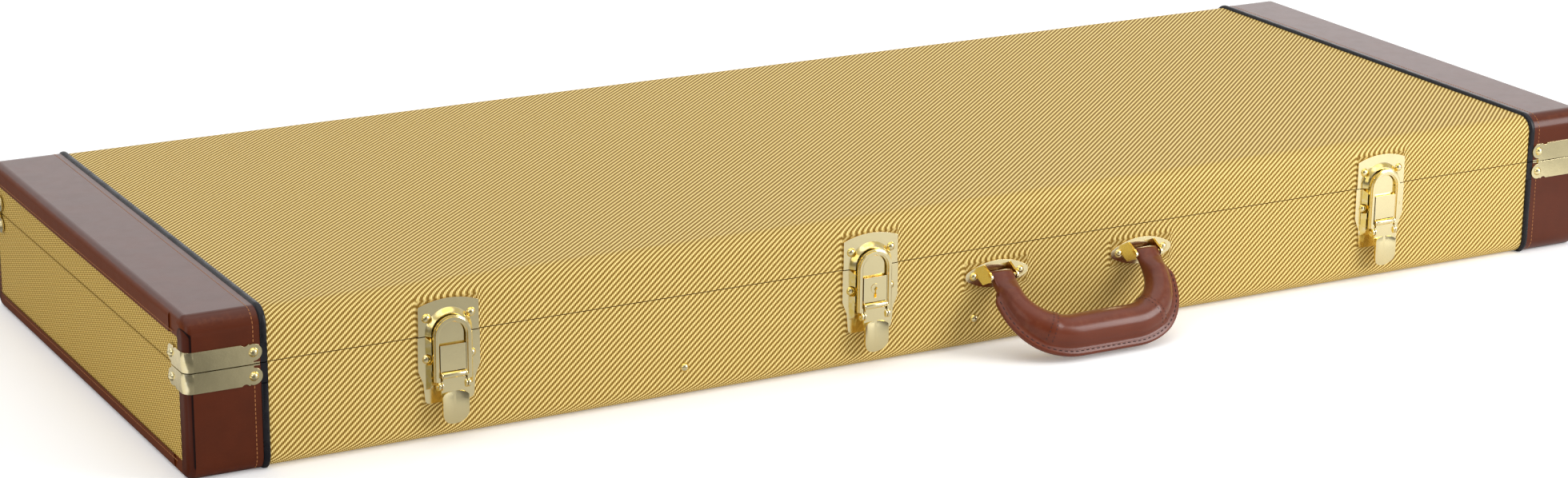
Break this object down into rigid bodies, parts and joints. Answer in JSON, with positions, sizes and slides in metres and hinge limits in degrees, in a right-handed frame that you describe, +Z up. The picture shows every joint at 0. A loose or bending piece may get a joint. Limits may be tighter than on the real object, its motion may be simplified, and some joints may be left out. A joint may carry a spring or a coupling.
{
  "type": "electric guitar case",
  "caption": "Rectangular hard case for an electric guitar: tweed cloth and leather ends over boards, hinged lid, brass draw latches, corner clamps and a leather handle.",
  "frame": {"origin": "centre of the underside, on the surface that the case lies on", "axes": "+X along the case towards the body end, +Y towards the hinges, so that the latches and the handle face -Y, +Z up through the lid"},
  "size_m": [1.0336, 0.4417, 0.1],
  "materials": {
    "plywood": "raw birch plywood",
    "tweed": "lacquered diagonal tweed weave, satin",
    "brown_leather": "smooth grained, semi-gloss",
    "handle_leather": "smooth, stitched, semi-gloss",
    "black_piping": "smooth, glossy",
    "brass": "polished pale brass plate",
    "steel_pins": "plain",
    "black_rubber": "matte",
    "plush": "short dense pile, matte"
  },
  "bodies": {
    "base": {"base_bottom_board": "plywood", "base_front_board": "plywood", "base_back_board": "plywood", "base_left_board": "plywood", "base_right_board": "plywood", "base_side_cloth": "tweed", "base_underside_cloth": "tweed", "base_end_cloth": "tweed", "base_left_leather_end": "brown_leather", "base_right_leather_end": "brown_leather", "base_piping": "black_piping", "base_corner_clamps": "brass", "base_rivets": "brass", "base_hinge_leaves": "brass", "hinge_pins": "steel_pins", "base_liner_boards": "plush", "base_floor_pad": "plush", "front_waist_block": "plush", "back_waist_block": "plush", "body_end_corner_blocks": "plush", "neck_rest_block": "plush", "neck_side_block": "plush", "compartment_left_wall": "plush", "compartment_right_wall": "plush", "compartment_long_wall": "plush", "left_latch_base": "brass", "centre_latch_base": "brass", "right_latch_base": "brass", "latch_lever_pins": "steel_pins", "left_handle_bracket": "brass", "right_handle_bracket": "brass", "back_glides": "black_rubber"},
    "lid": {"lid_top_board": "plywood", "lid_front_board": "plywood", "lid_back_board": "plywood", "lid_left_board": "plywood", "lid_right_board": "plywood", "lid_cloth": "tweed", "lid_end_cloth": "tweed", "lid_left_leather_end": "brown_leather", "lid_right_leather_end": "brown_leather", "lid_piping": "black_piping", "lid_corner_clamps": "brass", "lid_rivets": "brass", "lid_hinge_leaves": "brass", "lid_lining_pad": "plush", "left_latch_strike": "brass", "centre_latch_strike": "brass", "right_latch_strike": "brass"},
    "handle": {"handle_grip": "handle_leather"},
    "lock": {"lock_plug": "brass"},
    "compartment_cover": {"compartment_lid": "plush", "compartment_pull_tab": "brown_leather"},
    "left_lever": {"left_latch_lever": "brass"},
    "left_hasp": {"left_latch_hasp": "brass"},
    "centre_lever": {"centre_latch_lever": "brass"},
    "centre_hasp": {"centre_latch_hasp": "brass"},
    "right_lever": {"right_latch_lever": "brass"},
    "right_hasp": {"right_latch_hasp": "brass"}
  },
  "joints": [
    {"name": "lid_hinge", "type": "hinge", "parent": "base", "child": "lid", "pos_m": [0, 0.1915, 0.0665], "axis": [-1, 0, 0], "range_deg": [0, 100]},
    {"name": "handle_swing", "type": "hinge", "parent": "base", "child": "handle", "pos_m": [0.0857, -0.1955, 0.0486], "axis": [-1, 0, 0], "range_deg": [-21, 95]},
    {"name": "lock_turn", "type": "hinge", "parent": "base", "child": "lock", "pos_m": [-0.0635, -0.1948, 0.054], "axis": [0, -1, 0], "range_deg": [0, 90]},
    {"name": "compartment_lid_hinge", "type": "hinge", "parent": "base", "child": "compartment_cover", "pos_m": [-0.08975, -0.0563, 0.0603], "axis": [-1, 0, 0], "range_deg": [0, 95]},
    {"name": "left_latch_lever_turn", "type": "hinge", "parent": "base", "child": "left_lever", "pos_m": [-0.351, -0.1948, 0.0429], "axis": [-1, 0, 0], "range_deg": [0, 150]},
    {"name": "left_latch_hasp_turn", "type": "hinge", "parent": "left_lever", "child": "left_hasp", "pos_m": [-0.351, -0.194, 0.0364], "axis": [-1, 0, 0], "range_deg": [-173, 0]},
    {"name": "centre_latch_lever_turn", "type": "hinge", "parent": "base", "child": "centre_lever", "pos_m": [-0.0635, -0.1948, 0.0429], "axis": [-1, 0, 0], "range_deg": [0, 150]},
    {"name": "centre_latch_hasp_turn", "type": "hinge", "parent": "centre_lever", "child": "centre_hasp", "pos_m": [-0.0635, -0.194, 0.0364], "axis": [-1, 0, 0], "range_deg": [-173, 0]},
    {"name": "right_latch_lever_turn", "type": "hinge", "parent": "base", "child": "right_lever", "pos_m": [0.336, -0.1948, 0.0429], "axis": [-1, 0, 0], "range_deg": [0, 150]},
    {"name": "right_latch_hasp_turn", "type": "hinge", "parent": "right_lever", "child": "right_hasp", "pos_m": [0.336, -0.194, 0.0364], "axis": [-1, 0, 0], "range_deg": [-173, 0]}
  ],
  "couplings": [
    {"joint": "compartment_lid_hinge", "follows": "lid_hinge", "ratio": 0.95},
    {"joint": "left_latch_hasp_turn", "follows": "left_latch_lever_turn", "ratio": -1.15},
    {"joint": "centre_latch_hasp_turn", "follows": "centre_latch_lever_turn", "ratio": -1.15},
    {"joint": "right_latch_hasp_turn", "follows": "right_latch_lever_turn", "ratio": -1.15}
  ]
}
